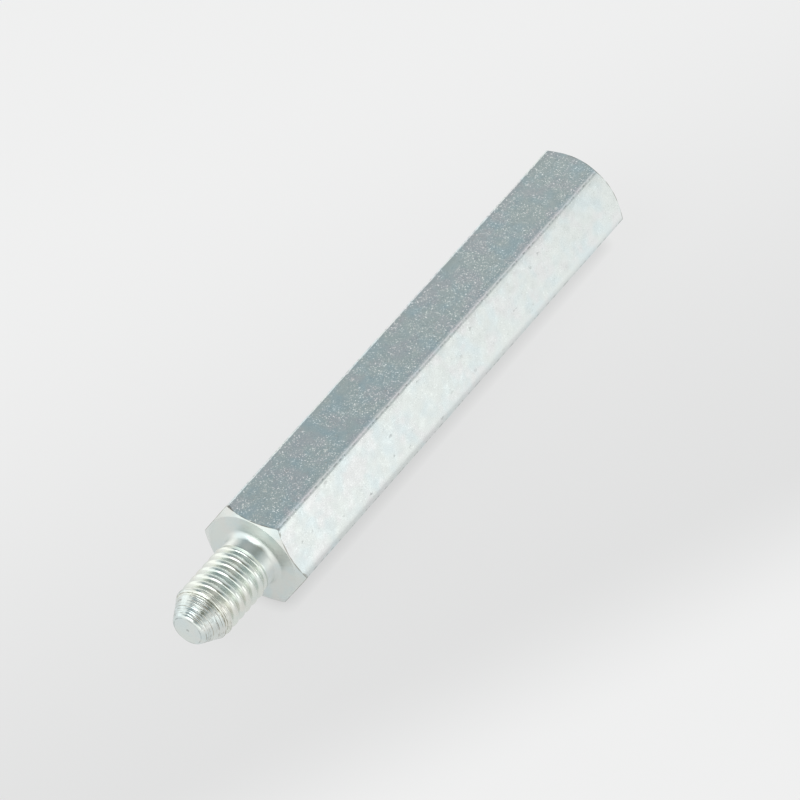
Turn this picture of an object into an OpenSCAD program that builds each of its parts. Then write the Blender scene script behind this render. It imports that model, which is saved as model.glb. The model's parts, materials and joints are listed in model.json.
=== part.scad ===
// Male to female hex standoff, turned in one piece from drawn hex bar. Lengths are in millimetres.
// It lies on one flat with its axis along X. The stud points to -X, the threaded hole opens to +X,
// and the origin is under the middle of the overall length, on the surface it lies on.

/* [Hex body] */
// Width across the flats, a 10 mm bar at the low side of its tolerance
across_flats = 9.9; // [9.2:0.1:16]
// Length of the hex body, from the shoulder to the open end
body_len = 55; // [25:1:120]
// Radius of the drawn bar's long edges
edge_r = 0.45; // [0.1:0.05:1]
// Distance from a flat in to the circle that each end is faced to
face_inset = 0.1; // [0.02:0.01:0.3]
// Angle of the chamfer at the shoulder, from the faced end
shoulder_chamfer = 30; // [15:1:45]
// Angle of the chamfer at the open end, from the faced end
mouth_chamfer = 38; // [15:1:45]

/* [Thread] */
// Nominal diameter of the stud's thread and of the hole's
thread_d = 6; // [4:0.5:7]
// Pitch of both threads
pitch = 1; // [0.5:0.05:1.5]
// Radial room that the plated stud leaves inside the nominal diameter
crest_allowance = 0.07; // [0.01:0.01:0.15]

/* [Stud] */
// Length of the stud, from the shoulder to the tip
stud_len = 10.4; // [7:0.1:30]
// Length of the bare neck next to the shoulder
neck_len = 1.5; // [0.8:0.1:3]
// Depth of the bare neck below the thread's crests
neck_step = 0.17; // [0.05:0.01:0.4]
// Radius of the fillet between the shoulder and the neck
neck_fillet = 0.5; // [0.1:0.05:0.7]
// Length of the tapered point, from the last full crest to the tip
point_len = 2.4; // [1:0.1:3]
// Angle of the point's taper, from the axis
point_angle = 28; // [15:1:30]
// Radius of the rim round the tip
rim_r = 0.4; // [0.1:0.05:0.5]
// Radius of the centre mark that the parting tool leaves in the tip
mark_r = 0.25; // [0.1:0.05:0.4]
// Depth of the centre mark
mark_depth = 0.08; // [0.02:0.01:0.2]

/* [Threaded hole] */
// Depth of the drilled wall, from the open end to the start of the drill's cone
hole_depth = 16; // [6:1:20]
// Angle across the cone that the drill leaves
drill_angle = 118; // [90:1:140]
// Angle across the countersink at the mouth
countersink_angle = 90; // [60:5:120]
// Radial room of the countersink outside the nominal thread
countersink_room = 0.2; // [0.05:0.05:0.5]

/* [Hidden] */
$fn = 96;

// Flats of the bar, the angle from one to the next, and the angle at which a small arc meets a face
sides = 6;
side_angle = 360 / sides;
blend = 6;

// The axis lies half the bar's width above the surface, and the overall length is centred on the origin
axis_z = across_flats / 2;
shoulder_x = (stud_len - body_len) / 2;

// Bar section: the edges' arcs are centred on the corners of a smaller hexagon, whose side equals its radius
corner_r = across_flats / 2 / cos(side_angle / 2);
edge_middle_r = (across_flats / 2 - edge_r * cos(blend)) / cos(side_angle / 2);
face_r = across_flats / 2 - face_inset;

// Stud radii and stations, measured from the shoulder along the stud
stud_r = thread_d / 2 - crest_allowance;
neck_r = stud_r - neck_step;
crest_start = neck_len + neck_step;
point_start = stud_len - point_len;
// The rim's arc runs from the taper to the tip's plane
rim_inset = rim_r * cos(blend);
rim_middle_z = stud_len - rim_r;
rim_middle_r = stud_r - (rim_middle_z - point_start) * tan(point_angle) - rim_inset / cos(point_angle);

// Hole: its wall is the thread's crests, one pitch under the nominal diameter
hole_r = (thread_d - pitch) / 2;
mouth_r = thread_d / 2 + countersink_room;
countersink_depth = (mouth_r - hole_r) / tan(countersink_angle / 2);
drill_cone = hole_r / tan(drill_angle / 2);

// Section of the drawn bar, with a corner on the first axis: six flats, joined by arcs at the corners
module bar_section() {
    intersection() {
        circle(r = corner_r, $fn = sides);
        union() {
            for (corner = [0 : sides - 1])
                rotate(corner * side_angle) translate([edge_middle_r, 0]) circle(r = edge_r);
            for (pair = [1 : sides / 2])
                rotate((pair - 0.5) * side_angle) square([2 * corner_r, edge_middle_r], center = true);
        }
    }
}

// Half section that the two ends are turned to, from the shoulder at 0 up to the open end
module turned_ends() {
    run = corner_r - face_r;
    polygon([
        [0, 0],
        [face_r, 0],
        [corner_r, run * tan(shoulder_chamfer)],
        [corner_r, body_len - run * tan(mouth_chamfer)],
        [face_r, body_len],
        [0, body_len]
    ]);
}

// Half section of the threaded hole, as far in as the drill's cone
module hole_section() {
    polygon([
        [0, body_len - hole_depth - drill_cone],
        [hole_r, body_len - hole_depth],
        [hole_r, body_len - countersink_depth],
        [mouth_r, body_len],
        [mouth_r, body_len + countersink_depth],
        [0, body_len + countersink_depth]
    ]);
}

// Half section of the stud, from inside the body out to the tip
module stud_section() {
    taper_end_r = rim_middle_r + rim_inset * cos(point_angle);
    taper_end_z = rim_middle_z + rim_inset * sin(point_angle);
    polygon([
        [0, -neck_len],
        [neck_r, -neck_len],
        [neck_r, neck_len],
        [stud_r, crest_start],
        [stud_r, point_start],
        [taper_end_r, taper_end_z],
        [rim_middle_r, rim_middle_z],
        [rim_middle_r, stud_len],
        [mark_r, stud_len],
        [0, stud_len - mark_depth]
    ]);
    translate([rim_middle_r, rim_middle_z]) circle(r = rim_r);
    difference() {
        translate([neck_r - neck_step, -neck_step])
            square([neck_fillet + neck_step, neck_fillet + neck_step]);
        translate([neck_r + neck_fillet, neck_fillet]) circle(r = neck_fillet);
    }
}

module standoff() {
    color([0.78, 0.80, 0.80])
    translate([shoulder_x, 0, axis_z]) {
        rotate([0, 90, 0])
        difference() {
            intersection() {
                rotate(90) linear_extrude(body_len) bar_section();
                rotate_extrude() turned_ends();
            }
            rotate_extrude() hole_section();
        }
        rotate([0, -90, 0]) rotate_extrude() stud_section();
    }
}

standoff();
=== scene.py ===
"""Looks of a hex standoff in bright zinc: drawn bar, turned ends, threaded stud and threaded hole."""

import json
import logging
import math
from collections.abc import Callable
from dataclasses import dataclass
from enum import IntEnum
from itertools import pairwise

import bmesh
import bpy
from bmesh.types import BMEdge, BMesh, BMFace, BMVert
from mathutils import Matrix, Vector


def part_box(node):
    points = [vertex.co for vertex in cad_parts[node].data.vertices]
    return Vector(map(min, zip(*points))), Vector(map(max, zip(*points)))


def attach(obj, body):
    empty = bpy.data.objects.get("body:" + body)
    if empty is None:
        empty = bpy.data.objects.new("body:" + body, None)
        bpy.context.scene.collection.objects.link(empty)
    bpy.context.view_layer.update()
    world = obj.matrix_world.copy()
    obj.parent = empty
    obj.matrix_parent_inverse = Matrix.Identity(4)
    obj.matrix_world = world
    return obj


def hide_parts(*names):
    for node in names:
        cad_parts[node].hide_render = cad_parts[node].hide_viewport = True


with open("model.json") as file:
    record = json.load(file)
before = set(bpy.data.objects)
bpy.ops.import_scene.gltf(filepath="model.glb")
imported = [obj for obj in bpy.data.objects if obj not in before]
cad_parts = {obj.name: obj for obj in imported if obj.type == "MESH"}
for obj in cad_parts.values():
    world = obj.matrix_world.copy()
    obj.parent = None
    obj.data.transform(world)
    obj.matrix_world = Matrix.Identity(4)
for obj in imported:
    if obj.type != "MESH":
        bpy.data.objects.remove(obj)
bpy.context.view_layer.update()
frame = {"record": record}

MM = 0.001
WELD = 1e-3
NODE = "standoff"
BODY = "root"
LOG = logging.getLogger(NODE)

Colour = tuple[float, float, float]
Point = tuple[float, float, float]
Range = tuple[float, float]
Socket = bpy.types.NodeSocket
Value = Socket | Vector | tuple[float, ...] | float
Setting = str | bool | float


class Finish(IntEnum):
    """Finishes of the standoff, by their place among the mesh's materials."""

    DRAWN = 0
    TURNED = 1
    THREADED = 2


def mount(name: str) -> dict:
    """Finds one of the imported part's mounts.

    Args:
        name: The mount's name in the record.

    Returns:
        The mount's entry.
    """
    return next(entry for entry in frame["record"]["mounts"] if entry["name"] == name)


class Lathe:
    """A mesh turned round the X axis, in millimetres, with the axis through the origin."""

    def __init__(self) -> None:
        """Starts with an empty mesh."""
        self.mesh: BMesh = bmesh.new()

    def edge_ring(self, x: float) -> list[BMEdge]:
        """Finds the open edges that lie in a plane across the axis.

        Args:
            x: Place of the plane.

        Returns:
            The ring's edges.
        """
        return [
            edge
            for edge in self.mesh.edges
            if edge.is_boundary and all(abs(vert.co.x - x) < WELD for vert in edge.verts)
        ]

    def turn(self, ring: list[BMEdge], stations: list[Range], finish: Finish) -> list[BMEdge]:
        """Carries a ring on through a row of stations, as a turning tool would.

        Args:
            ring: Open edges round the axis.
            stations: Place along the axis and radius of each new ring.
            finish: Finish of the new faces.

        Returns:
            The last ring.
        """
        for x, radius in stations:
            made = bmesh.ops.extrude_edge_only(self.mesh, edges=ring)["geom"]
            verts = {item for item in made if isinstance(item, BMVert)}
            for vert in verts:
                reach = math.hypot(vert.co.y, vert.co.z)
                vert.co = (x, vert.co.y * radius / reach, vert.co.z * radius / reach)
            for item in made:
                if isinstance(item, BMFace):
                    item.material_index = finish
            ring = [item for item in made if isinstance(item, BMEdge) and verts.issuperset(item.verts)]
        return ring

    def close(self, ring: list[BMEdge], x: float) -> None:
        """Draws a ring together to a point on the axis.

        Args:
            ring: Open edges round the axis.
            x: Place of the point.
        """
        radius = math.hypot(*ring[0].verts[0].co.yz)
        ring = self.turn(ring, [(x, radius)], Finish.TURNED)
        verts = list({vert for edge in ring for vert in edge.verts})
        bmesh.ops.pointmerge(self.mesh, verts=verts, merge_co=(x, 0, 0))

    def add(self, other: "Lathe") -> None:
        """Takes in the mesh of another lathe.

        Args:
            other: The lathe that gives its mesh up.
        """
        data = bpy.data.meshes.new("turned")
        other.mesh.to_mesh(data)
        other.mesh.free()
        self.mesh.from_mesh(data)
        bpy.data.meshes.remove(data)

    def face(self, x: float, finish: Finish) -> None:
        """Fills the space between the two open rings that lie in a plane across the axis.

        Args:
            x: Place of the plane.
            finish: Finish of the face.
        """
        rings = self.edge_ring(x)
        made = bmesh.ops.triangle_fill(self.mesh, edges=rings, use_beauty=True, normal=(1, 0, 0))
        for item in made["geom"]:
            if isinstance(item, BMFace):
                item.material_index = finish


@dataclass
class Thread:
    """A right-handed thread with straight flanks, a flat crest with round corners and a round root."""

    pitch: float
    crest_r: float
    crest_flat: float
    crest_round: float
    root_round: float
    finish: Finish = Finish.THREADED
    inward: bool = False
    flank_angle: float = 30.0
    arc_steps: int = 4
    flank_steps: int = 3
    turn_steps: int = 160

    def half_outline(self) -> list[tuple[float, float]]:
        """Draws half a pitch of the thread, from the middle of its crest to the bottom of its root.

        Returns:
            Distance along the axis and depth under the crest, at each point.
        """
        flank = math.radians(self.flank_angle)
        sweep = math.pi / 2 - flank
        corner = self.crest_flat / 2
        tangent = self.crest_round * math.tan(sweep / 2)
        points = [(0.0, 0.0)]
        for step in range(self.arc_steps + 1):
            angle = sweep * step / self.arc_steps
            across = corner - tangent + self.crest_round * math.sin(angle)
            points.append((across, self.crest_round * (1 - math.cos(angle))))
        root_start = self.pitch / 2 - self.root_round * math.sin(sweep)
        root_depth = (root_start - corner) / math.tan(flank)
        across, depth = points[-1]
        for step in range(1, self.flank_steps):
            share = step / self.flank_steps
            points.append((across + (root_start - across) * share, depth + (root_depth - depth) * share))
        for step in range(self.arc_steps + 1):
            angle = sweep * (1 - step / self.arc_steps)
            lift = self.root_round * (math.cos(angle) - math.cos(sweep))
            points.append((self.pitch / 2 - self.root_round * math.sin(angle), root_depth + lift))
        return points

    def outline(self) -> list[tuple[float, float]]:
        """Draws one pitch of the thread, from crest to crest.

        Returns:
            Distance along the axis and radius, at each point.
        """
        half = self.half_outline()
        mirrored = [(self.pitch - across, depth) for across, depth in reversed(half[:-1])]
        side = 1 if self.inward else -1
        return [(across, self.crest_r + side * depth) for across, depth in half + mirrored]

    def cut(
        self,
        lathe: Lathe,
        start: float,
        end: float,
        crest_x: float,
        fit: Callable[[float, float], float],
    ) -> tuple[list[BMEdge], list[BMEdge]]:
        """Winds the outline into a threaded surface between two planes across the axis.

        Args:
            lathe: An empty lathe, whose mesh gets the surface.
            start: Place of the lower plane.
            end: Place of the upper plane.
            crest_x: Place of one crest along the top of the thread.
            fit: Gives the radius to use from a place along the axis and the thread's own radius.

        Returns:
            The rings at the lower and the upper plane.
        """
        mesh = lathe.mesh
        first = crest_x + self.pitch * math.floor((start - crest_x) / self.pitch - 1)
        corners = [mesh.verts.new((first, 0, self.crest_r))]
        while corners[-1].co.x < end + self.pitch:
            base = corners[-1].co.x
            for across, radius in self.outline()[1:]:
                corners.append(mesh.verts.new((base + across, 0, radius)))
        edges = [mesh.edges.new(pair) for pair in pairwise(corners)]
        bmesh.ops.spin(
            mesh,
            geom=corners + edges,
            axis=(1, 0, 0),
            dvec=(self.pitch / self.turn_steps, 0, 0),
            angle=math.tau,
            steps=self.turn_steps,
        )
        bmesh.ops.remove_doubles(mesh, verts=mesh.verts[:], dist=WELD)
        for vert in mesh.verts:
            radius = math.hypot(*vert.co.yz)
            vert.co.yz *= fit(vert.co.x, radius) / radius
        for plane, side in ((start, -1), (end, 1)):
            bmesh.ops.bisect_plane(
                mesh,
                geom=mesh.verts[:] + mesh.edges[:] + mesh.faces[:],
                dist=WELD / 10,
                plane_co=(plane, 0, 0),
                plane_no=(side, 0, 0),
                clear_outer=True,
            )
        for face in mesh.faces:
            face.material_index = self.finish
        return lathe.edge_ring(start), lathe.edge_ring(end)


@dataclass
class HexBar:
    """The drawn hex bar between its turned ends."""

    shoulder_x: float
    end_x: float
    across_flats: float
    across_edges: float
    face_inset: float = 0.1
    shoulder_chamfer: float = 30.0
    mouth_chamfer: float = 38.0
    sides: int = 6
    edge_steps: int = 12
    edge_fullness: float = 0.5
    flat_cuts: int = 19

    @property
    def face_r(self) -> float:
        """Radius of the circle that each end is faced to."""
        return self.across_flats / 2 - self.face_inset

    @property
    def shoulder_slope(self) -> float:
        """Rise of the shoulder's chamfer along the axis, for each unit outward."""
        return math.tan(math.radians(self.shoulder_chamfer))

    @property
    def mouth_slope(self) -> float:
        """Rise of the open end's chamfer along the axis, for each unit outward."""
        return math.tan(math.radians(self.mouth_chamfer))

    def build(self) -> Lathe:
        """Draws the bar and chamfers its ends.

        Returns:
            The bar, open at both faces.
        """
        lathe = Lathe()
        mesh = lathe.mesh
        half_angle = math.pi / self.sides
        corner_r = self.across_flats / 2 / math.cos(half_angle)
        edge_depth = corner_r - self.across_edges / 2
        edge_share = (1 - math.sqrt(self.edge_fullness)) * 2 * math.sin(half_angle)
        across = Matrix.Translation((self.shoulder_x, 0, 0)) @ Matrix.Rotation(math.pi / 2, 4, "Y")
        bmesh.ops.create_circle(
            mesh,
            cap_ends=True,
            segments=self.sides,
            radius=corner_r,
            matrix=across,
        )
        bmesh.ops.bevel(
            mesh,
            geom=mesh.verts[:],
            offset=edge_depth / edge_share,
            affect="VERTICES",
            segments=self.edge_steps,
            profile=self.edge_fullness,
            material=-1,
        )
        flats = [edge for edge in mesh.edges if edge.calc_length() > corner_r / 2]
        bmesh.ops.subdivide_edges(mesh, edges=flats, cuts=self.flat_cuts)
        bmesh.ops.delete(mesh, geom=mesh.faces[:], context="FACES_ONLY")
        near = mesh.edges[:]
        made = bmesh.ops.extrude_edge_only(mesh, edges=near)["geom"]
        far_verts = {item for item in made if isinstance(item, BMVert)}
        far = [item for item in made if isinstance(item, BMEdge) and far_verts.issuperset(item.verts)]
        for vert in mesh.verts:
            rise = math.hypot(*vert.co.yz) - self.face_r
            if vert in far_verts:
                vert.co.x = self.end_x - rise * self.mouth_slope
            else:
                vert.co.x = self.shoulder_x + rise * self.shoulder_slope
        lathe.turn(near, [(self.shoulder_x, self.face_r)], Finish.TURNED)
        lathe.turn(far, [(self.end_x, self.face_r)], Finish.TURNED)
        return lathe


@dataclass
class Stud:
    """The stud: a bare neck with a fillet, the thread, and a tapered point with a round rim."""

    shoulder_x: float
    tip_x: float
    crest_r: float
    pitch: float = 1.0
    neck_len: float = 1.5
    neck_step: float = 0.17
    neck_fillet: float = 0.5
    run_out: float = 0.7
    first_crest: float = 1.79
    point_len: float = 2.4
    point_angle: float = 28.0
    rim_r: float = 0.4
    mark_r: float = 0.25
    mark_depth: float = 0.08
    hold: float = 0.04
    arc_steps: int = 8

    @property
    def neck_r(self) -> float:
        """Radius of the bare neck."""
        return self.crest_r - self.neck_step

    def point_r(self, x: float) -> float:
        """Radius of the tapered point at a place along the axis."""
        slope = math.tan(math.radians(self.point_angle))
        return self.crest_r - (self.tip_x + self.point_len - x) * slope

    def fit(self, x: float, radius: float) -> float:
        """Fades the thread into the neck, and trims it to the point's taper.

        Args:
            x: Place along the axis.
            radius: The thread's own radius there.

        Returns:
            The radius to use.
        """
        share = (self.shoulder_x - self.neck_len - x) / self.run_out
        share = min(max(share, 0.0), 1.0)
        share *= share * (3 - 2 * share)
        return min(self.neck_r + (radius - self.neck_r) * share, self.point_r(x))

    def build(self) -> Lathe:
        """Cuts the thread and turns the neck and the point on from it.

        Returns:
            The stud, open where its fillet meets the shoulder.
        """
        lathe = Lathe()
        thread = Thread(
            self.pitch, self.crest_r, crest_flat=0.40, crest_round=0.33, root_round=0.07, arc_steps=6
        )
        tangent = math.radians(self.point_angle)
        rim_x = self.tip_x + self.rim_r
        rim_middle = self.point_r(rim_x) - self.rim_r / math.cos(tangent)
        bare_x = self.tip_x + self.point_len / 2
        neck_x = self.shoulder_x - self.neck_len
        point, neck = thread.cut(lathe, bare_x, neck_x, self.shoulder_x - self.first_crest, self.fit)
        for face in lathe.mesh.faces:
            middle = face.calc_center_median()
            if math.hypot(*middle.yz) > self.point_r(middle.x) - self.hold:
                face.material_index = Finish.TURNED
        steps = range(self.arc_steps + 1)
        arc = [tangent + (math.pi / 2 - tangent) * step / self.arc_steps for step in steps]
        rim = [(rim_x - self.rim_r * math.sin(a), rim_middle + self.rim_r * math.cos(a)) for a in arc]
        taper_x = rim[0][0] + self.hold
        taper = [(taper_x, self.point_r(taper_x))]
        mark = [
            (self.tip_x, rim_middle - self.hold),
            (self.tip_x, self.mark_r + self.hold),
            (self.tip_x, self.mark_r),
            (self.tip_x + self.mark_depth / 2, self.mark_r / 2),
        ]
        tip = lathe.turn(point, taper + rim + mark, Finish.TURNED)
        lathe.close(tip, self.tip_x + 2 * self.mark_depth)
        quarter = [math.pi / 2 * step / self.arc_steps for step in steps]
        middle_x, middle_r = self.shoulder_x - self.neck_fillet, self.neck_r + self.neck_fillet
        fillet = [
            (middle_x + self.neck_fillet * math.sin(a), middle_r - self.neck_fillet * math.cos(a))
            for a in quarter
        ]
        bare = [(neck_x + self.hold, self.neck_r), (middle_x - self.hold, self.neck_r)]
        face = [(self.shoulder_x, middle_r + self.hold)]
        lathe.turn(neck, bare + fillet + face, Finish.TURNED)
        return lathe


@dataclass
class ThreadedHole:
    """The blind hole: a countersunk mouth, the thread, the drilled wall and the drill's cone."""

    end_x: float
    wall_r: float
    wall_len: float
    pitch: float = 1.0
    mouth_room: float = 0.7
    run_out: float = 1.5
    bare_len: float = 2.5
    drill_angle: float = 118.0

    def fit(self, x: float, radius: float) -> float:
        """Opens the thread into the countersink, and fades it into the drilled wall.

        Args:
            x: Place along the axis.
            radius: The thread's own radius there.

        Returns:
            The radius to use.
        """
        bottom = self.end_x - self.mouth_room - self.wall_len + self.bare_len
        share = min(max((x - bottom) / self.run_out, 0.0), 1.0)
        countersink = self.wall_r + self.mouth_room - (self.end_x - x)
        return max(self.wall_r + (radius - self.wall_r) * share, countersink)

    def build(self) -> Lathe:
        """Cuts the thread and drills the hole on from it.

        Returns:
            The hole's surface, open at the mouth.
        """
        lathe = Lathe()
        thread = Thread(
            self.pitch,
            self.wall_r,
            crest_flat=0.25,
            crest_round=0.04,
            root_round=0.1,
            finish=Finish.TURNED,
            inward=True,
            turn_steps=80,
        )
        bottom_x = self.end_x - self.mouth_room - self.wall_len
        bare, _ = thread.cut(lathe, bottom_x + self.bare_len, self.end_x, self.end_x, self.fit)
        wall = lathe.turn(bare, [(bottom_x, self.wall_r)], Finish.TURNED)
        lathe.close(wall, bottom_x - self.wall_r / math.tan(math.radians(self.drill_angle / 2)))
        return lathe


@dataclass
class Standoff:
    """The whole standoff, turned in one piece."""

    sharp_angle: float = 26.0

    def __post_init__(self) -> None:
        """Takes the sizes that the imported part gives."""
        low, high = (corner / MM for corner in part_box(NODE))
        hole, stud = mount("threaded_hole")["dims"], mount("stud")["dims"]
        shoulder_x = mount("shoulder")["pos_m"][0] / MM
        self.axis_z = (low.z + high.z) / 2
        self.bar = HexBar(shoulder_x, high.x, across_flats=high.z - low.z, across_edges=high.y - low.y)
        self.stud = Stud(shoulder_x, low.x, stud["r_mm"])
        self.hole = ThreadedHole(high.x, hole["r_mm"], hole["length_mm"])

    def build(self) -> bpy.types.Object:
        """Models the standoff as one closed mesh.

        Returns:
            The standoff's object.
        """
        lathe = self.bar.build()
        lathe.add(self.stud.build())
        lathe.add(self.hole.build())
        lathe.face(self.bar.shoulder_x, Finish.TURNED)
        lathe.face(self.bar.end_x, Finish.TURNED)
        mesh = lathe.mesh
        bmesh.ops.remove_doubles(mesh, verts=mesh.verts[:], dist=WELD)
        bmesh.ops.recalc_face_normals(mesh, faces=mesh.faces[:])
        bmesh.ops.translate(mesh, vec=(0, 0, self.axis_z), verts=mesh.verts[:])
        bmesh.ops.scale(mesh, vec=(MM, MM, MM), verts=mesh.verts[:])
        data = bpy.data.meshes.new("zinc_standoff")
        open_edges = sum(not edge.is_manifold for edge in mesh.edges)
        mesh.to_mesh(data)
        mesh.free()
        data.polygons.foreach_set("use_smooth", [True] * len(data.polygons))
        data.set_sharp_from_angle(angle=math.radians(self.sharp_angle))
        piece = bpy.data.objects.new("zinc_standoff", data)
        bpy.context.scene.collection.objects.link(piece)
        data.calc_loop_triangles()
        LOG.info("%s: %d triangles, %d open edges", piece.name, len(data.loop_triangles), open_edges)
        return piece


class Graph:
    """A node tree being wired up, with the place that its nodes read."""

    def __init__(self, tree: bpy.types.NodeTree) -> None:
        """Takes the tree to wire."""
        self.tree = tree
        self.coordinates = self.add("ShaderNodeTexCoord").outputs
        self.where: Socket = self.coordinates["Object"]

    def add(
        self,
        kind: str,
        inputs: dict[str | int, Value] | None = None,
        **settings: Setting,
    ) -> bpy.types.Node:
        """Adds a node.

        Args:
            kind: Blender's name for the node.
            inputs: What each socket gets, a link or a value.
            settings: The node's own options.

        Returns:
            The node.
        """
        node = self.tree.nodes.new(kind)
        for name, setting in settings.items():
            setattr(node, name, setting)
        for socket, value in (inputs or {}).items():
            if isinstance(value, Socket):
                self.tree.links.new(value, node.inputs[socket])
            else:
                node.inputs[socket].default_value = value
        return node

    def math(self, operation: str, first: Value, second: Value = 0.0) -> Socket:
        """Works out one step of arithmetic."""
        return self.add("ShaderNodeMath", {0: first, 1: second}, operation=operation).outputs[0]

    def product(self, first: Value, *others: Value) -> Socket:
        """Multiplies values by one another."""
        for other in others:
            first = self.math("MULTIPLY", first, other)
        return first

    def vector(self, operation: str, first: Value, second: Value = (0.0, 0.0, 0.0)) -> Socket:
        """Works out one step of arithmetic on vectors."""
        node = self.add("ShaderNodeVectorMath", {0: first, 1: second}, operation=operation)
        return node.outputs["Vector"]

    def dot(self, first: Value, second: Value) -> Socket:
        """Works out the dot product of two vectors."""
        node = self.add("ShaderNodeVectorMath", {0: first, 1: second}, operation="DOT_PRODUCT")
        return node.outputs["Value"]

    def length(self, vector: Value) -> Socket:
        """Measures a vector."""
        return self.add("ShaderNodeVectorMath", {0: vector}, operation="LENGTH").outputs["Value"]

    def parts(self, vector: Value) -> bpy.types.bpy_prop_collection:
        """Takes a vector apart."""
        return self.add("ShaderNodeSeparateXYZ", {0: vector}).outputs

    def step(self, value: Value, low: float, high: float) -> Socket:
        """Rises smoothly from 0 to 1 as a value goes from one limit to the other.

        Args:
            value: The value.
            low: Where the rise starts.
            high: Where the rise ends.

        Returns:
            The share of the rise.
        """
        if low > high:
            return self.math("SUBTRACT", 1.0, self.step(value, high, low))
        limits = {"Value": value, "From Min": low, "From Max": high}
        return self.add("ShaderNodeMapRange", limits, interpolation_type="SMOOTHSTEP").outputs["Result"]

    def mix(self, share: Value, first: Value, second: Value) -> Socket:
        """Blends two colours.

        Args:
            share: Share of the second colour.
            first: The first colour.
            second: The second colour.

        Returns:
            The blend.
        """
        node = self.add("ShaderNodeMix", {"Factor": share}, data_type="RGBA")
        for socket, value in (("A", first), ("B", second)):
            target = next(item for item in node.inputs if item.name == socket and item.type == "RGBA")
            if isinstance(value, Socket):
                self.tree.links.new(value, target)
            else:
                target.default_value = (*value, 1.0)
        return next(item for item in node.outputs if item.type == "RGBA")

    def noise(self, where: Value, scale: float, detail: float = 2.0) -> Socket:
        """Spreads soft random patches.

        Args:
            where: Place on the piece.
            scale: Patches in each unit of length.
            detail: How many finer layers are added.

        Returns:
            A value round one half.
        """
        inputs = {"Vector": where, "Scale": scale, "Detail": detail}
        return self.add("ShaderNodeTexNoise", inputs).outputs["Fac"]

    def scatter(self, where: Value, count: float) -> tuple[Socket, Socket]:
        """Scatters small round specks.

        Args:
            where: Place on the piece.
            count: Specks in each unit of length.

        Returns:
            Distance to the nearest speck's middle, and a random vector for each speck, round zero.
        """
        cells = self.add("ShaderNodeTexVoronoi", {"Vector": where, "Scale": count}).outputs
        return cells["Distance"], self.vector("SUBTRACT", cells["Color"], (0.5, 0.5, 0.5))

    def ripple(self, where: Value, scale: float, detail: float = 2.0) -> Socket:
        """Gives a random vector round zero, which changes softly from place to place.

        Args:
            where: Place on the piece.
            scale: Changes in each unit of length.
            detail: How many finer layers are added.

        Returns:
            The vector.
        """
        inputs = {"Vector": where, "Scale": scale, "Detail": detail}
        noise = self.add("ShaderNodeTexNoise", inputs).outputs["Color"]
        return self.vector("SUBTRACT", noise, (0.5, 0.5, 0.5))

    def times(self, vector: Value, *shares: Value) -> Socket:
        """Scales a vector by each of some shares."""
        for share in shares:
            node = self.add("ShaderNodeVectorMath", {0: vector, "Scale": share}, operation="SCALE")
            vector = node.outputs["Vector"]
        return vector


@dataclass(frozen=True)
class Zinc:
    """Bright zinc plate under a clear film that tints it, with lengths in millimetres."""

    axis_z: float
    bar: HexBar
    plain: Colour = (0.75, 0.79, 0.775)
    blue: Colour = (0.68, 0.775, 0.805)
    blue_range: Range = (0.38, 0.7)
    mauve: Colour = (0.775, 0.773, 0.785)
    mauve_range: Range = (0.46, 0.68)
    mauve_shift: Point = (17.0, 5.0, 11.0)
    patch_len: float = 2.2
    # colour, patch count and range of the painted shade lines where the chamfers meet the flats
    chamfer_shade_colour: Colour = (0.47, 0.44, 0.40)
    chamfer_shade_count: float = 1.1
    chamfer_shade_range: Range = (0.38, 0.58)
    roughness: float = 0.15
    rough_count: float = 1.2
    rough_spread: float = 0.1

    def material(self, name: str) -> bpy.types.Material:
        """Makes the finish's material.

        Args:
            name: The material's name.

        Returns:
            The material.
        """
        material = bpy.data.materials.new(name)
        material.use_nodes = True
        graph = Graph(material.node_tree)
        shader = material.node_tree.nodes["Principled BSDF"]
        shader.inputs["Metallic"].default_value = 1.0
        graph.where = graph.times(graph.where, 1 / MM)
        colour, roughness, tilt = self.surface(graph)
        out = graph.vector("ADD", graph.add("ShaderNodeNewGeometry").outputs["Normal"], tilt)
        graph.tree.links.new(colour, shader.inputs["Base Color"])
        graph.tree.links.new(roughness, shader.inputs["Roughness"])
        graph.tree.links.new(graph.vector("NORMALIZE", out), shader.inputs["Normal"])
        return material

    def film(self, graph: Graph) -> Socket:
        """Tints the zinc in soft patches.

        Args:
            graph: The material's nodes.

        Returns:
            The colour.
        """
        scale = 1 / self.patch_len
        aside = graph.vector("ADD", graph.where, self.mauve_shift)
        blue = graph.step(graph.noise(graph.where, scale), *self.blue_range)
        mauve = graph.step(graph.noise(aside, scale), *self.mauve_range)
        return graph.mix(mauve, graph.mix(blue, self.plain, self.blue), self.mauve)

    def across(self, graph: Graph) -> tuple[Socket, Socket]:
        """Measures the way out from the axis.

        Args:
            graph: The material's nodes.

        Returns:
            The distance from the axis, and the direction away from it.
        """
        offset = graph.vector("SUBTRACT", graph.where, (0.0, 0.0, self.axis_z))
        offset = graph.vector("MULTIPLY", offset, (0.0, 1.0, 1.0))
        return graph.length(offset), graph.vector("NORMALIZE", offset)

    def dullness(self, graph: Graph) -> Socket:
        """Varies the roughness a little from place to place.

        Args:
            graph: The material's nodes.

        Returns:
            The roughness.
        """
        patches = graph.math("SUBTRACT", graph.noise(graph.where, self.rough_count), 0.5)
        return graph.math("ADD", graph.product(patches, self.rough_spread), self.roughness)

    def broken(self, graph: Graph) -> Socket:
        """Breaks up the lines of painted shade at the chamfers."""
        return graph.step(graph.noise(graph.where, self.chamfer_shade_count), *self.chamfer_shade_range)

    def surface(self, graph: Graph) -> tuple[Socket, ...]:
        """Lays the finish out, in each kind of zinc its own way.

        Args:
            graph: The material's nodes.

        Returns:
            Colour, roughness, and the tilt that is added to the surface's normal.
        """
        raise NotImplementedError


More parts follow.
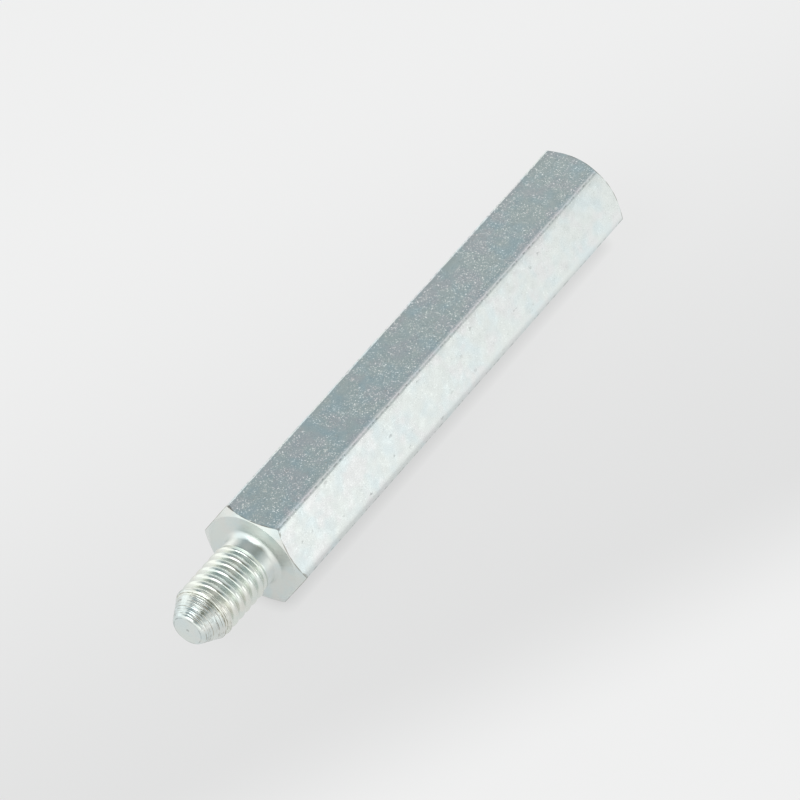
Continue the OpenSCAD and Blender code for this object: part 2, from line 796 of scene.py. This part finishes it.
@dataclass(frozen=True)
class DrawnZinc(Zinc):
    """Zinc on the drawn flats: bright grains, small dings, worn edges, and thin dark lines of painted
    shade where the chamfers cut the flats.
    """

    grain_count: float = 6.5
    grain_r: float = 0.48
    grain_tilt: float = 0.34
    grain_side: float = 0.13
    grain_warp: float = 0.5
    grain_warp_count: float = 3.0
    # share of the film's tint on the other flats; the upper flat's fuller tint is a painted reflection
    tint_side: float = 0.6
    cluster_len: float = 2.6
    cluster_range: Range = (0.2, 0.55)
    satin_count: float = 7.0
    satin_tilt: float = 0.035
    wave_len: float = 0.9
    wave_tilt: float = 0.06
    ding_count: float = 0.8
    ding_range: Range = (0.16, 0.38)
    ding_r: float = 0.22
    ding_shade: float = 0.88
    ding_tilt: float = 0.4
    ding_warp: float = 0.5
    ding_warp_count: float = 4.0
    ding_turn: Point = (0.4, 0.3, 0.5)
    ding_stretch: Point = (0.9, 1.6, 1.6)
    edge_rise: float = 0.07
    edge_tilt: float = 0.3
    edge_reach: float = 0.35
    edge_lean: float = 0.34
    scuff_stretch: Point = (1.2, 8.0, 8.0)
    line_rise: float = 0.008
    line_shade: float = 0.66
    line_range: Range = (0.47, 0.63)
    line_stretch: Point = (2.2, 0.4, 0.4)
    line_detail: float = 4.0
    chamfer_shade_len: float = 0.1
    chamfer_shade_corner: float = 0.2
    chamfer_shade_corner_r: float = 5.3

    def upper(self, graph: Graph, least: float) -> Socket:
        """Favours the upper flat, where the grain shows most and the film's tint is laid on more
        strongly as a painted reflection of the bluish light above.

        Args:
            graph: The material's nodes.
            least: Share on the other flats.

        Returns:
            The share, up to 1 on the upper flat.
        """
        top_z = self.axis_z + self.bar.across_flats / 2
        share = graph.step(graph.parts(graph.where)["Z"], top_z - self.edge_reach, top_z)
        return graph.math("MAXIMUM", share, least)

    def grains(self, graph: Graph) -> Socket:
        """Tilts the surface in small grains, thick in some places and thin in others.

        Args:
            graph: The material's nodes.

        Returns:
            The tilt.
        """
        cluster = graph.step(graph.noise(graph.where, 1 / self.cluster_len), *self.cluster_range)
        warp = graph.times(graph.ripple(graph.where, self.grain_warp_count), self.grain_warp)
        far, facet = graph.scatter(graph.vector("ADD", graph.where, warp), self.grain_count)
        grains = graph.step(far, self.grain_r, self.grain_r / 2)
        satin = graph.times(graph.ripple(graph.where, self.satin_count), self.satin_tilt)
        waves = graph.times(graph.ripple(graph.where, 1 / self.wave_len, 1.0), self.wave_tilt)
        satin = graph.vector("ADD", satin, waves)
        lean = graph.vector("NORMALIZE", facet)
        share = self.upper(graph, self.grain_side)
        return graph.vector("ADD", graph.times(lean, grains, cluster, share, self.grain_tilt), satin)

    def dings(self, graph: Graph) -> tuple[Socket, Socket]:
        """Strews small dings and scratches.

        Args:
            graph: The material's nodes.

        Returns:
            Where the dings are, and the tilt inside them.
        """
        warp = graph.times(graph.ripple(graph.where, self.ding_warp_count), self.ding_warp)
        bent = graph.vector("ADD", graph.where, warp)
        slant = {"Vector": bent, "Rotation": self.ding_turn, "Scale": self.ding_stretch}
        slanted = graph.add("ShaderNodeMapping", slant).outputs["Vector"]
        far, facet = graph.scatter(slanted, self.ding_count)
        chance = graph.step(graph.parts(facet)["X"], *self.ding_range)
        dings = graph.product(graph.step(far, self.ding_r, self.ding_r / 2), chance)
        return dings, graph.times(facet, dings, self.ding_tilt)

    def edges(self, graph: Graph) -> tuple[Socket, Socket]:
        """Wears the bar's long edges.

        Args:
            graph: The material's nodes.

        Returns:
            Where the broken dark line along each edge is, and the tilt of the scuffs beside it.
        """
        corner_r = self.bar.across_edges / 2
        reach, out = self.across(graph)
        edge = graph.step(reach, corner_r - self.edge_rise, corner_r)
        scuffs = graph.ripple(graph.vector("MULTIPLY", graph.where, self.scuff_stretch), 1.0)
        lean = graph.times(out, graph.step(reach, corner_r - self.edge_reach, corner_r), self.edge_lean)
        tilt = graph.vector("ADD", lean, graph.times(scuffs, edge, self.edge_tilt))
        ridge = graph.step(reach, corner_r - self.line_rise, corner_r - self.line_rise / 4)
        course = graph.vector("MULTIPLY", graph.where, self.line_stretch)
        broken = graph.step(graph.noise(course, 1.0, self.line_detail), *self.line_range)
        return graph.product(ridge, broken), tilt

    def chamfer_shade(self, graph: Graph) -> Socket:
        """Finds the thin dark lines of painted shade where the chamfers cut the flats, which are widest
        at the corners.

        Args:
            graph: The material's nodes.

        Returns:
            Where the painted shade lines are.
        """
        bar = self.bar
        reach, _ = self.across(graph)
        rise = graph.math("SUBTRACT", reach, bar.face_r)
        along = graph.parts(graph.where)["X"]
        near = graph.math("SUBTRACT", along, bar.shoulder_x)
        far = graph.math("SUBTRACT", bar.end_x, along)
        corner = graph.step(reach, self.chamfer_shade_corner_r, bar.across_edges / 2)
        near = graph.math("SUBTRACT", near, graph.product(rise, bar.shoulder_slope))
        near = graph.math("SUBTRACT", near, graph.product(corner, self.chamfer_shade_corner))
        far = graph.math("SUBTRACT", far, graph.product(rise, bar.mouth_slope))
        lines = graph.step(graph.math("MINIMUM", near, far), self.chamfer_shade_len, self.chamfer_shade_len / 4)
        return graph.product(lines, self.broken(graph))

    def surface(self, graph: Graph) -> tuple[Socket, ...]:
        """Lays out grains, dings, edges and the chamfers' painted shade lines over the tinted plate.

        Args:
            graph: The material's nodes.

        Returns:
            Colour, roughness and tilt.
        """
        dings, ding_tilt = self.dings(graph)
        lines, edge_tilt = self.edges(graph)
        tilt = graph.vector("ADD", graph.vector("ADD", ding_tilt, edge_tilt), self.grains(graph))
        # painted reflection: the film's tint is laid on more strongly on the upper flat, which faces the
        # bluish light above
        upper_painted_tint = self.upper(graph, self.tint_side)
        colour = graph.mix(upper_painted_tint, self.plain, self.film(graph))
        colour = graph.mix(dings, colour, graph.times(colour, self.ding_shade))
        colour = graph.mix(lines, colour, graph.times(colour, self.line_shade))
        # painted shade: thin dark lines where the chamfers cut the flats, standing for the dark
        # reflections there
        chamfer_shaded = graph.vector("MULTIPLY", colour, self.chamfer_shade_colour)
        colour = graph.mix(self.chamfer_shade(graph), colour, chamfer_shaded)
        return colour, self.dullness(graph), tilt


@dataclass(frozen=True)
class TurnedZinc(Zinc):
    """Zinc on the turned faces, with the tool's rings, which are deepest round the stud's point."""

    plain: Colour = (0.73, 0.775, 0.745)
    blue: Colour = (0.685, 0.765, 0.765)
    mauve: Colour = (0.745, 0.765, 0.735)
    chamfer_shade_range: Range = (0.3, 0.5)
    ring_len: float = 0.17
    ring_detail: float = 2.0
    ring_tilt: float = 0.10
    point_tilt: float = 3.8
    point_x: float = -29.8
    point_r: float = 1.75
    # colour and range of the painted shade in the point's ring grooves
    groove_shade: Colour = (0.66, 0.61, 0.55)
    groove_shade_range: Range = (0.52, 0.37)
    blend: float = 0.15
    worn_count: float = 1.6
    worn_range: Range = (0.3, 0.62)
    satin_count: float = 6.0
    satin_tilt: float = 0.08
    # painted shade on the tip: the dark ring inside its rim and the darkened centre mark
    rim_r: float = 1.5
    rim_width: float = 0.08
    rim_shade: float = 0.62
    mark_shade_range: Range = (0.2, 0.1)
    border: float = 0.06
    dull_x: float = -23.8
    dull_roughness: float = 0.2
    neck_r: float = 2.76
    neck_lean: float = 0.38
    neck_gloss: float = 0.2

    def point(self, graph: Graph, worn: Value) -> Socket:
        """Finds the taper of the stud's point.

        Args:
            graph: The material's nodes.
            worn: How worn the tool's marks are.

        Returns:
            Where the taper's marks are.
        """
        along = graph.parts(graph.where)["X"]
        reach, _ = self.across(graph)
        beyond = graph.step(along, self.point_x + self.blend, self.point_x - self.blend)
        outside = graph.step(reach, self.point_r - self.blend, self.point_r)
        return graph.product(beyond, outside, worn)

    def rings(self, graph: Graph, point: Value) -> tuple[Socket, Socket]:
        """Cuts the tool's rings, which are deepest on the point.

        Args:
            graph: The material's nodes.
            point: Where the point's marks are.

        Returns:
            Where painted shade darkens the point's grooves, and the tilt of all the rings.
        """
        reach, out = self.across(graph)
        course = graph.math("ADD", graph.parts(graph.where)["X"], reach)
        inputs = {"W": course, "Scale": 1 / self.ring_len, "Detail": self.ring_detail}
        rings = graph.add("ShaderNodeTexNoise", inputs, noise_dimensions="1D").outputs["Fac"]
        depth = graph.math("ADD", graph.product(point, self.point_tilt), self.ring_tilt)
        slope = graph.vector("ADD", out, (1.0, 0.0, 0.0))
        tilt = graph.times(slope, graph.math("SUBTRACT", rings, 0.5), depth)
        return graph.product(graph.step(rings, *self.groove_shade_range), point), tilt

    def neck(self, graph: Graph) -> tuple[Socket, Socket]:
        """Dulls the shoulder and the neck, and leans the neck's normal toward the tip.

        Args:
            graph: The material's nodes.

        Returns:
            The roughness to add, and the neck's tilt.
        """
        along = graph.parts(graph.where)["X"]
        reach, _ = self.across(graph)
        dull = graph.step(along, self.dull_x - self.blend, self.dull_x + self.blend)
        neck = graph.product(dull, graph.step(reach, self.neck_r + self.blend, self.neck_r))
        tilt = graph.times((-1.0, 0.0, 0.0), neck, self.neck_lean)
        dull = graph.math("SUBTRACT", dull, graph.product(neck, self.neck_gloss))
        faced = graph.step(reach, self.bar.face_r, self.bar.face_r - self.border)
        return graph.product(dull, faced, self.dull_roughness), tilt

    def rim(self, graph: Graph, worn: Value) -> Socket:
        """Finds the painted shade on the tip: a dark ring inside its rim, standing for dark reflections
        near the floor, and the centre mark's pit.

        Args:
            graph: The material's nodes.
            worn: How worn the tool's marks are.

        Returns:
            Where the ring and the mark are.
        """
        reach, _ = self.across(graph)
        off_rim = graph.math("ABSOLUTE", graph.math("SUBTRACT", reach, self.rim_r))
        rim = graph.product(graph.step(off_rim, self.rim_width, self.rim_width / 4), worn)
        return graph.math("MAXIMUM", rim, graph.step(reach, *self.mark_shade_range))

    def chamfer_shade(self, graph: Graph) -> Socket:
        """Finds the thin dark lines of painted shade where the turned faces end at the bar's flats.

        Args:
            graph: The material's nodes.

        Returns:
            Where the painted shade lines are.
        """
        reach, out = self.across(graph)
        nearest: Value = 0.0
        for side in range(self.bar.sides // 2):
            turn = math.tau * side / self.bar.sides
            share = graph.math("ABSOLUTE", graph.dot(out, (0.0, math.sin(turn), math.cos(turn))))
            nearest = graph.math("MAXIMUM", nearest, share)
        flat = self.bar.across_flats / 2
        flat_reach = graph.product(reach, nearest)
        border = graph.step(flat_reach, flat - self.border, flat - self.border / 4)
        return graph.product(border, self.broken(graph))

    def surface(self, graph: Graph) -> tuple[Socket, ...]:
        """Lays out the tool's rings, the rim and the painted shade over the tinted plate: in the point's
        grooves, on the rim ring and centre mark, and in thin lines at the flats.

        Args:
            graph: The material's nodes.

        Returns:
            Colour, roughness and tilt.
        """
        worn = graph.step(graph.noise(graph.where, self.worn_count), *self.worn_range)
        shaded_grooves, tilt = self.rings(graph, self.point(graph, worn))
        satin = graph.times(graph.ripple(graph.where, self.satin_count), self.satin_tilt)
        dull, neck_tilt = self.neck(graph)
        tilt = graph.vector("ADD", graph.vector("ADD", tilt, satin), neck_tilt)
        colour = self.film(graph)
        # painted shade: the point's ring grooves are darkened, deepening the stripes their reflections
        # make
        colour = graph.mix(shaded_grooves, colour, graph.vector("MULTIPLY", colour, self.groove_shade))
        # painted shade: the dark ring inside the tip's rim and the darkened centre mark
        colour = graph.mix(self.rim(graph, worn), colour, graph.times(colour, self.rim_shade))
        # painted shade: thin dark lines where the turned faces end at the bar's flats
        chamfer_shaded = graph.vector("MULTIPLY", colour, self.chamfer_shade_colour)
        colour = graph.mix(self.chamfer_shade(graph), colour, chamfer_shaded)
        return colour, graph.math("ADD", self.dullness(graph), dull), tilt


@dataclass(frozen=True)
class ThreadedZinc(TurnedZinc):
    """Zinc on the stud's thread, duller in the roots, in colours painted lighter than the turned faces'.
    """

    # painted light: these colours are a lighter copy of the turned zinc, making up for the dimmer light
    # on the thread
    plain: Colour = (0.785, 0.815, 0.76)
    blue: Colour = (0.74, 0.805, 0.775)
    mauve: Colour = (0.80, 0.805, 0.75)
    roughness: float = 0.11
    root_r: float = 2.5
    flank_r: float = 2.82
    root_roughness: float = 0.2

    def surface(self, graph: Graph) -> tuple[Socket, ...]:
        """Dulls the roots of the turned finish.

        Args:
            graph: The material's nodes.

        Returns:
            Colour, roughness and tilt.
        """
        colour, roughness, tilt = super().surface(graph)
        reach, _ = self.across(graph)
        root = graph.step(reach, self.flank_r, self.root_r)
        duller = graph.math("ADD", roughness, graph.product(root, self.root_roughness))
        return colour, duller, tilt


def toward(azimuth: float, elevation: float) -> Vector:
    """Points from the object to a place in the room.

    Args:
        azimuth: Angle round the object, in degrees.
        elevation: Angle above the floor, in degrees.

    Returns:
        The direction.
    """
    turn = Matrix.Rotation(math.radians(azimuth), 3, "Z")
    return turn @ Matrix.Rotation(-math.radians(elevation), 3, "Y") @ Vector((1, 0, 0))


@dataclass(frozen=True)
class Wall:
    """A bright wall of the room, as it looks from the object. Angles are in degrees."""

    azimuth: float
    spread: float
    top: float
    soft: float
    colour: Colour

    def share(self, graph: Graph, out: Value) -> Socket:
        """Finds how far a direction points at the wall.

        Args:
            graph: The room's nodes.
            out: The direction.

        Returns:
            The share, from 0 to 1.
        """
        level = graph.vector("NORMALIZE", graph.vector("MULTIPLY", out, (1.0, 1.0, 0.0)))
        edge = [math.cos(math.radians(self.spread + side * self.soft)) for side in (1, -1)]
        across = graph.step(graph.dot(level, toward(self.azimuth, 0.0)), *edge)
        rim = [math.sin(math.radians(self.top + side * self.soft / 2)) for side in (1, -1)]
        return graph.product(across, graph.step(graph.parts(out)["Z"], *rim))


@dataclass(frozen=True)
class Patch:
    """A soft patch of the room, lighter or darker than the rest of it. Angles are in degrees."""

    azimuth: float
    elevation: float
    reach: float
    colour: Colour

    def share(self, graph: Graph, out: Value) -> Socket:
        """Finds how far a direction points at the patch.

        Args:
            graph: The room's nodes.
            out: The direction.

        Returns:
            The share, from 0 to 1.
        """
        middle = toward(self.azimuth, self.elevation)
        return graph.step(graph.dot(out, middle), math.cos(math.radians(self.reach)), 1.0)


@dataclass
class Studio:
    """The room: pale walls, dimmer above, a soft lamp overhead and a pale floor."""

    shade: tuple[tuple[float, Colour], ...] = (
        (0.0, (0.76, 0.77, 0.76)),
        (0.29, (0.76, 0.77, 0.76)),
        (0.5, (0.68, 0.70, 0.69)),
        (0.64, (0.59, 0.63, 0.62)),
        (0.695, (0.53, 0.58, 0.575)),
        (0.745, (0.33, 0.405, 0.435)),
        (0.8, (0.345, 0.40, 0.42)),
        (1.0, (0.42, 0.43, 0.42)),
    )
    walls: tuple[Wall, ...] = (
        Wall(20, 50, 26, 7, (1.02, 1.03, 1.02)),
        Wall(140, 45, 44, 14, (1.12, 1.13, 1.11)),
        Wall(126, 62, 26, 8, (1.22, 1.23, 1.21)),
        Wall(-105, 70, 20, 8, (0.80, 0.81, 0.80)),
        Wall(-148, 26, 22, 6, (1.3, 1.31, 1.27)),
        Wall(-77, 19.4, 20, 5, (1.38, 1.39, 1.37)),
    )
    patches: tuple[Patch, ...] = (
        Patch(-15, 56, 28, (0.79, 0.79, 0.80)),
        Patch(-140, 54, 26, (0.22, 0.22, 0.17)),
        Patch(48, 35, 18, (0.40, 0.45, 0.46)),
    )
    floor_size: float = 1.5
    floor_gap: float = 0.00002
    floor_colour: Colour = (0.83, 0.83, 0.83)
    floor_shine: float = 0.88
    # the floor glow's tones: dimmest in its painted shadow and lighter toward the far ends; the dim tone
    # is also the backdrop seen by the camera
    background: Colour = (0.765, 0.765, 0.765)
    background_ends: Colour = (0.9, 0.9, 0.9)
    sweep_start: float = 0.018
    sweep_end: float = 0.07
    sweep_colour: Colour = (1.07, 1.07, 1.06)
    fall_direction: Point = (0.4, 0.9, 0.0)
    fall_start: float = -0.035
    fall_end: float = 0.045
    rise_start: float = -0.023
    rise_end: float = -0.04
    contact_reach: float = 0.0013
    contact_shade: float = 0.22
    lamp_azimuth: float = 168.0
    lamp_elevation: float = 44.0
    lamp_distance: float = 0.6
    lamp_size: float = 0.42
    lamp_power: float = 0.7

    def light_room(self) -> None:
        """Makes the walls, as seen from the object, and keeps them plain to the camera."""
        world = bpy.data.worlds.new("room")
        bpy.context.scene.world = world
        world.use_nodes = True
        graph = Graph(world.node_tree)
        out = graph.coordinates["Generated"]
        ramp = graph.add("ShaderNodeValToRGB", {"Fac": graph.parts(out)["Z"]})
        stops = ramp.color_ramp.elements
        for stop in (stops[0], stops[-1], *(stops.new(0.5) for _ in self.shade[2:])):
            stop.position = 1.0
        for stop, (place, colour) in zip(stops, self.shade):
            stop.position = place
            stop.color = (*colour, 1.0)
        room = ramp.outputs["Color"]
        for part in (*self.walls, *self.patches):
            room = graph.mix(part.share(graph, out), room, part.colour)
        seen = graph.add("ShaderNodeLightPath").outputs["Is Camera Ray"]
        background = world.node_tree.nodes["Background"]
        graph.tree.links.new(graph.mix(seen, room, self.background), background.inputs["Color"])

    def hang_lamp(self) -> None:
        """Hangs the lamp over the object."""
        data = bpy.data.lights.new("soft_lamp", "AREA")
        data.shape = "DISK"
        data.size = self.lamp_size
        data.energy = self.lamp_power
        lamp = bpy.data.objects.new("soft_lamp", data)
        way = toward(self.lamp_azimuth, self.lamp_elevation)
        facing = way.to_track_quat("Z", "Y").to_matrix().to_4x4()
        lamp.matrix_world = Matrix.Translation(way * self.lamp_distance) @ facing
        bpy.context.scene.collection.objects.link(lamp)

    def lay_floor(self) -> None:
        """Lays a pale sheet under the object."""
        sheet = bmesh.new()
        bmesh.ops.create_grid(sheet, x_segments=1, y_segments=1, size=self.floor_size)
        bmesh.ops.translate(sheet, vec=(0, 0, -self.floor_gap), verts=sheet.verts[:])
        data = bpy.data.meshes.new("floor")
        sheet.to_mesh(data)
        sheet.free()
        data.materials.append(self.floor_sheet())
        floor = bpy.data.objects.new("floor", data)
        bpy.context.scene.collection.objects.link(floor)

    def floor_sheet(self) -> bpy.types.Material:
        """Makes the floor's material: a pale sheet that glows, with painted shadow in its glow, dimmer
        on the object's shaded side and darker where the object nearly touches, and painted light in
        reflections further off.

        Returns:
            The material.
        """
        material = bpy.data.materials.new("pale_sheet")
        material.use_nodes = True
        graph = Graph(material.node_tree)
        sheet = material.node_tree.nodes["Principled BSDF"]
        sheet.inputs["Base Color"].default_value = (*self.floor_colour, 1.0)
        sheet.inputs["Roughness"].default_value = 1.0
        sheet.inputs["Specular IOR Level"].default_value = 0.0
        # painted shadow: the glow is dimmer on the object's shaded side, dimmest in a band a few
        # centimetres off, and lighter toward the far ends
        along = graph.dot(graph.where, self.fall_direction)
        shadow_fall = graph.step(along, self.fall_start, self.fall_end)
        shadow_tone = graph.mix(shadow_fall, self.background, self.background_ends)
        rise = graph.step(along, self.rise_start, self.rise_end)
        shadow_tone = graph.mix(rise, shadow_tone, self.background_ends)
        # painted contact shadow: the glow is darkened where the object nearly touches the floor
        contact_shadow = graph.add("ShaderNodeAmbientOcclusion", {"Distance": self.contact_reach}).outputs["AO"]
        level = graph.math("MULTIPLY_ADD", contact_shadow, self.contact_shade)
        level.node.inputs[2].default_value = 1.0 - self.contact_shade
        path = graph.add("ShaderNodeLightPath").outputs
        # painted light seen only in reflections: the glow brightens further from the object
        sweep = graph.step(graph.length(graph.where), self.sweep_start, self.sweep_end)
        sweep = graph.product(sweep, graph.math("SUBTRACT", 1.0, path["Is Camera Ray"]))
        glow = graph.mix(sweep, shadow_tone, self.sweep_colour)
        shine = graph.add("ShaderNodeEmission", {"Color": glow, "Strength": level})
        seen = graph.math("MAXIMUM", path["Is Camera Ray"], path["Is Glossy Ray"])
        seen = graph.math("MAXIMUM", seen, path["Is Transmission Ray"])
        share = graph.product(seen, self.floor_shine)
        mixed = graph.add("ShaderNodeMixShader", {0: share, 1: sheet.outputs[0], 2: shine.outputs[0]})
        output = material.node_tree.nodes["Material Output"]
        graph.tree.links.new(mixed.outputs[0], output.inputs["Surface"])
        return material

    def build(self) -> None:
        """Sets the whole room up."""
        self.light_room()
        self.hang_lamp()
        self.lay_floor()


@dataclass
class Camera:
    """The camera, by what it aims at and where it stands round that point."""

    aim: Point = (0.00116, -0.00057, 0.00495)
    distance: float = 0.58138
    azimuth: float = -53.26
    elevation: float = 46.38
    roll: float = -4.25
    lens: float = 280.15

    def place(self) -> None:
        """Makes the camera and gives it to the scene."""
        turn = Matrix.Rotation(math.radians(self.azimuth), 4, "Z")
        tilt = Matrix.Rotation(math.radians(90 - self.elevation), 4, "X")
        roll = Matrix.Rotation(math.radians(self.roll), 4, "Z")
        data = bpy.data.cameras.new("photo_camera")
        data.lens = self.lens
        camera = bpy.data.objects.new("photo_camera", data)
        back = Matrix.Translation((0, 0, self.distance))
        camera.matrix_world = Matrix.Translation(self.aim) @ turn @ tilt @ back @ roll
        bpy.context.scene.collection.objects.link(camera)
        bpy.context.scene.camera = camera


def main() -> None:
    """Builds the standoff, dresses it and sets the stage."""
    logging.basicConfig(level=logging.INFO, format="%(name)s: %(message)s")
    bpy.context.scene.view_settings.view_transform = "Standard"
    standoff = Standoff()
    piece = standoff.build()
    finishes = {
        Finish.DRAWN: DrawnZinc(standoff.axis_z, standoff.bar),
        Finish.TURNED: TurnedZinc(standoff.axis_z, standoff.bar),
        Finish.THREADED: ThreadedZinc(standoff.axis_z, standoff.bar),
    }
    for finish in Finish:
        piece.data.materials.append(finishes[finish].material(f"{finish.name.lower()}_zinc"))
    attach(piece, BODY)
    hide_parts(NODE)
    Camera().place()
    Studio().build()


if __name__ == "__main__":
    main()
